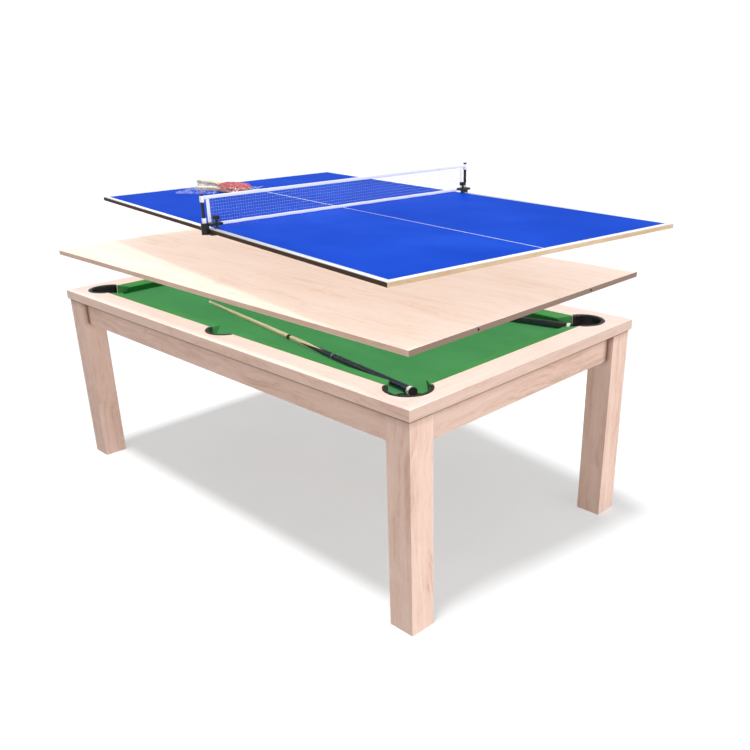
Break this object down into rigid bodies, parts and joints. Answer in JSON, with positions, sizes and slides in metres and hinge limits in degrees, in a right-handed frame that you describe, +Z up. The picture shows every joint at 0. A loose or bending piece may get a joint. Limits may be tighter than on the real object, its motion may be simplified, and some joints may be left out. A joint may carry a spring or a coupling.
{
  "type": "pool table",
  "caption": "Drop-pocket pool table with mitred wooden rails and square legs, shown with its lift-off dining top and table-tennis top raised above the green bed.",
  "frame": {"origin": "centre of the table's footprint, on the floor", "axes": "+X along the table's length, +Y across its width towards the back, +Z up"},
  "size_m": [2.299, 1.4946, 1.29],
  "materials": {
    "oak_frame": "matt wood-effect laminate, fine straight grain",
    "oak_rail": "matt wood-effect laminate, fine straight grain",
    "board": "bare fibreboard",
    "softwood": "planed softwood",
    "bed_cloth": "green napped billiard cloth",
    "cushion_cloth": "green billiard cloth over rubber",
    "black_plastic": "moulded, satin",
    "pocket_net": "black knotted cord",
    "steel": "zinc plated",
    "leveller_black": "moulded foot on a steel stud",
    "cue_maple": "lacquered pale maple",
    "cue_butt": "gloss navy-black lacquer",
    "cue_joint": "polished black collar",
    "bumper_rubber": "matt rubber",
    "rack_black": "moulded, satin",
    "dining_laminate": "matt wood-effect laminate, taupe edges",
    "dowel_beech": "plain beech",
    "pad_black": "matt pad",
    "tennis_blue": "satin blue lacquered fibreboard",
    "line_white": "painted line",
    "clamp_black": "satin black enamel",
    "clamp_steel": "zinc plated",
    "post_black": "black sleeve over steel rod",
    "net_cord": "white cord mesh",
    "tape_white": "white cotton tape",
    "bat_wood": "clear lacquered plywood and handle",
    "bat_rubber": "smooth red rubber",
    "ball_white": "matt celluloid",
    "clear_film": "clear wrapping film"
  },
  "bodies": {
    "table": {"leg_front_left": "oak_frame", "leg_front_right": "oak_frame", "leg_back_left": "oak_frame", "leg_back_right": "oak_frame", "apron_front": "oak_frame", "apron_back": "oak_frame", "apron_left": "oak_frame", "apron_right": "oak_frame", "rail_front": "oak_rail", "rail_back": "oak_rail", "rail_left": "oak_rail", "rail_right": "oak_rail", "bed_board": "board", "bed_cloth": "bed_cloth", "cushion_front_left": "cushion_cloth", "cushion_front_right": "cushion_cloth", "cushion_back_left": "cushion_cloth", "cushion_back_right": "cushion_cloth", "cushion_left": "cushion_cloth", "cushion_right": "cushion_cloth", "cushion_subrails": "softwood", "pocket_liners": "black_plastic", "pocket_nets": "pocket_net", "bed_supports": "softwood", "corner_brackets": "steel", "leg_bolts": "steel"},
    "foot_front_left": {"leveller_front_left": "leveller_black"},
    "foot_front_right": {"leveller_front_right": "leveller_black"},
    "foot_back_left": {"leveller_back_left": "leveller_black"},
    "foot_back_right": {"leveller_back_right": "leveller_black"},
    "near_cue": {"near_cue_shaft": "cue_maple", "near_cue_joint": "cue_joint", "near_cue_butt": "cue_butt", "near_cue_bumper": "bumper_rubber"},
    "far_cue": {"far_cue_shaft": "cue_maple", "far_cue_joint": "cue_joint", "far_cue_butt": "cue_butt"},
    "rack": {"triangle_rack": "rack_black"},
    "dining_top": {"dining_panel_left": "dining_laminate", "dining_panel_right": "dining_laminate", "dining_dowels": "dowel_beech", "dining_pads": "pad_black"},
    "tennis_pivot": {"tennis_pivot_pad": "pad_black"},
    "tennis_top": {"tennis_panel_left": "tennis_blue", "tennis_panel_right": "tennis_blue", "court_lines": "line_white", "tennis_dowels": "dowel_beech", "tennis_pads": "pad_black", "net_clamps": "clamp_black"},
    "front_clamp_foot": {"clamp_foot_front": "clamp_steel"},
    "front_clamp_screw": {"clamp_screw_front": "clamp_black"},
    "back_clamp_foot": {"clamp_foot_back": "clamp_steel"},
    "back_clamp_screw": {"clamp_screw_back": "clamp_black"},
    "net": {"net_posts": "post_black", "net_mesh": "net_cord", "net_bands": "tape_white"},
    "bat_set": {"bats": "bat_wood", "bat_rubbers": "bat_rubber", "balls": "ball_white", "clear_bag": "clear_film"}
  },
  "joints": [
    {"name": "leveller_front_left_screw", "type": "slide", "parent": "table", "child": "foot_front_left", "axis": [0, 0, -1], "range_m": [0, 0.01]},
    {"name": "leveller_front_right_screw", "type": "slide", "parent": "table", "child": "foot_front_right", "axis": [0, 0, -1], "range_m": [0, 0.01]},
    {"name": "leveller_back_left_screw", "type": "slide", "parent": "table", "child": "foot_back_left", "axis": [0, 0, -1], "range_m": [0, 0.01]},
    {"name": "leveller_back_right_screw", "type": "slide", "parent": "table", "child": "foot_back_right", "axis": [0, 0, -1], "range_m": [0, 0.01]},
    {"name": "near_cue_stroke", "type": "slide", "parent": "table", "child": "near_cue", "axis": [-0.9892, 0.1468, 0], "range_m": [0, 0.25]},
    {"name": "far_cue_stroke", "type": "slide", "parent": "table", "child": "far_cue", "axis": [-0.9781, -0.2079, 0], "range_m": [0, 0.2]},
    {"name": "rack_slide", "type": "slide", "parent": "table", "child": "rack", "axis": [1, 0, 0], "range_m": [0, 0.25]},
    {"name": "dining_top_lift", "type": "slide", "parent": "table", "child": "dining_top", "axis": [0, 0, 1], "range_m": [-0.1578, 0.1]},
    {"name": "tennis_top_lift", "type": "slide", "parent": "dining_top", "child": "tennis_pivot", "axis": [0, 0, 1], "range_m": [-0.1778, 0.05]},
    {"name": "tennis_top_turn", "type": "hinge", "parent": "tennis_pivot", "child": "tennis_top", "pos_m": [0.6243, -0.5403, 1.1635], "axis": [0, 0, 1], "range_deg": [-2.4, 8.3]},
    {"name": "front_clamp_foot_travel", "type": "slide", "parent": "tennis_top", "child": "front_clamp_foot", "axis": [0, 0, 1], "range_m": [0, 0.0076]},
    {"name": "front_clamp_screw_turn", "type": "hinge", "parent": "front_clamp_foot", "child": "front_clamp_screw", "pos_m": [0.02708, -0.48977, 1.2], "axis": [0, 0, 1], "range_deg": [0, 1800]},
    {"name": "back_clamp_foot_travel", "type": "slide", "parent": "tennis_top", "child": "back_clamp_foot", "axis": [0, 0, 1], "range_m": [0, 0.0076]},
    {"name": "back_clamp_screw_turn", "type": "hinge", "parent": "back_clamp_foot", "child": "back_clamp_screw", "pos_m": [0.19238, 0.65031, 1.2], "axis": [0, 0, 1], "range_deg": [0, 1800]},
    {"name": "net_lift", "type": "slide", "parent": "tennis_top", "child": "net", "axis": [0, 0, 1], "range_m": [0, 0.06]},
    {"name": "bat_set_lift", "type": "slide", "parent": "tennis_top", "child": "bat_set", "axis": [0, 0, 1], "range_m": [0, 0.15]}
  ],
  "couplings": [
    {"joint": "tennis_top_turn", "follows": "tennis_top_lift", "rad_per_m": -0.80984},
    {"joint": "front_clamp_foot_travel", "follows": "front_clamp_screw_turn", "m_per_rad": 0.00023873},
    {"joint": "back_clamp_foot_travel", "follows": "back_clamp_screw_turn", "m_per_rad": 0.00023873}
  ]
}
